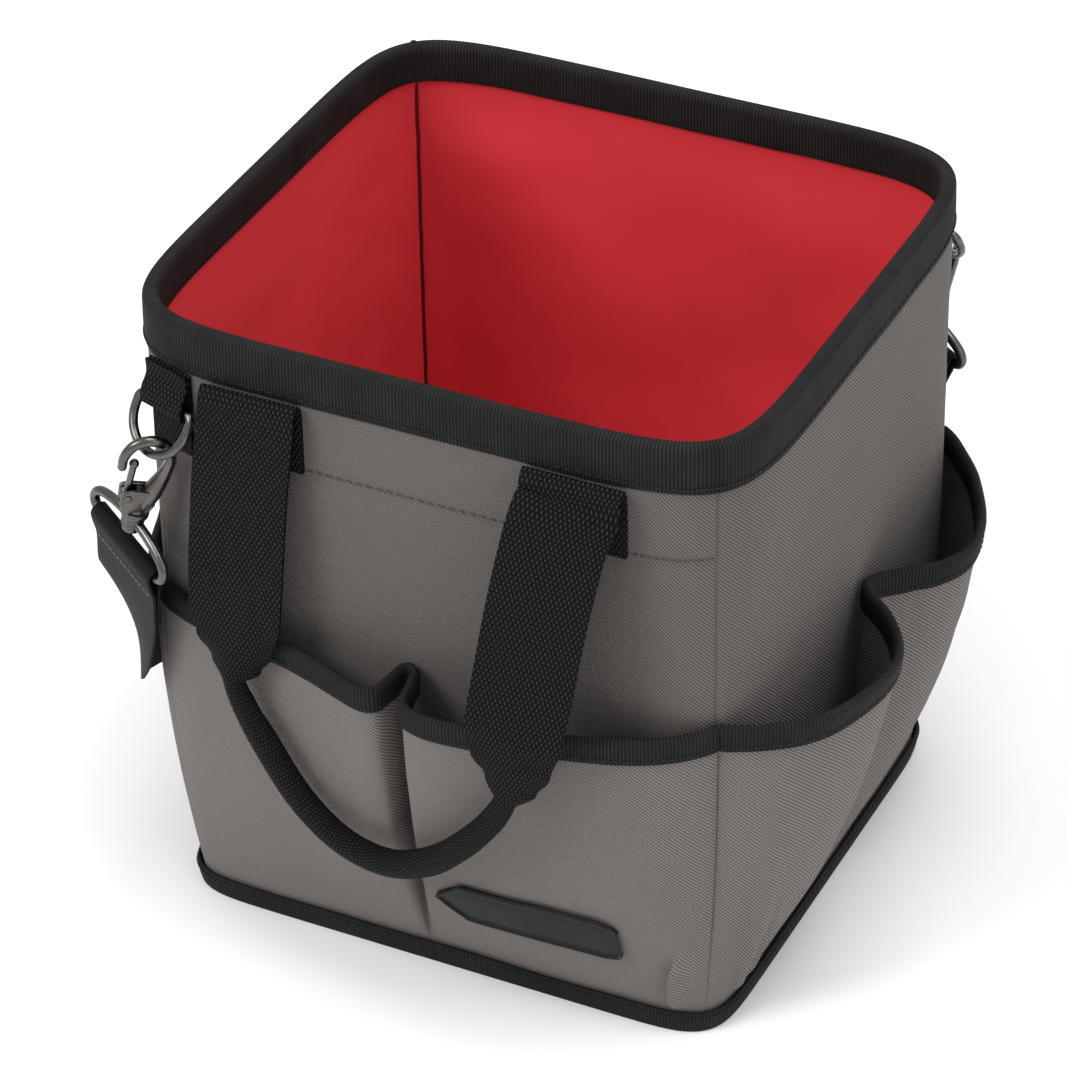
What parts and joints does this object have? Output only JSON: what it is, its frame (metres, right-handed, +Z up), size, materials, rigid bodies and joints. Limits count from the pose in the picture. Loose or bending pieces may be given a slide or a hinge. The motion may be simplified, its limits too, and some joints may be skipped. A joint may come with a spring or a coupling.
{
  "type": "tool bag",
  "caption": "Open-topped square tool bag with padded walls, a lining, pleated outside pockets, webbing handles and a shoulder strap on swivel snap hooks.",
  "frame": {"origin": "middle of the base's underside, which rests on the floor", "axes": "+Z up; the wall with the visible handle and the patch faces -Y; +X is to the right of someone who looks at that wall"},
  "size_m": [0.3432, 0.3309, 0.302],
  "materials": {
    "twill": "warm grey padded twill",
    "lining": "red smooth lining cloth",
    "tape": "black ribbed binding tape",
    "webbing": "black woven webbing",
    "strap": "dark slate ribbed webbing",
    "steel": "gunmetal plate",
    "rubber": "matt moulded rubber"
  },
  "bodies": {
    "bag": {"front_panel": "twill", "back_panel": "twill", "left_panel": "twill", "right_panel": "twill", "base_panel": "tape", "lining_front": "lining", "lining_back": "lining", "lining_left": "lining", "lining_right": "lining", "lining_floor": "lining", "rim_binding": "tape", "base_binding": "tape", "front_pocket": "twill", "left_pocket": "twill", "right_pocket": "twill", "front_pocket_binding": "tape", "left_pocket_binding": "tape", "right_pocket_binding": "tape", "front_handle": "webbing", "back_handle": "webbing", "ring_tab_front": "webbing", "ring_tab_back": "webbing", "d_ring_front": "steel", "d_ring_back": "steel", "hook_front": "steel", "eye_front": "steel", "hook_back": "steel", "shoulder_strap": "strap", "badge": "rubber"},
    "gate": {"gate_front": "steel"}
  },
  "joints": [
    {"name": "gate_hinge", "type": "hinge", "parent": "bag", "child": "gate", "pos_m": [-0.12862, -0.14247, 0.22201], "axis": [-0.5873, 0.7822, 0.2079], "range_deg": [0, 25], "stiffness_Nm_per_rad": 0.005, "springref_deg": -20.05}
  ]
}
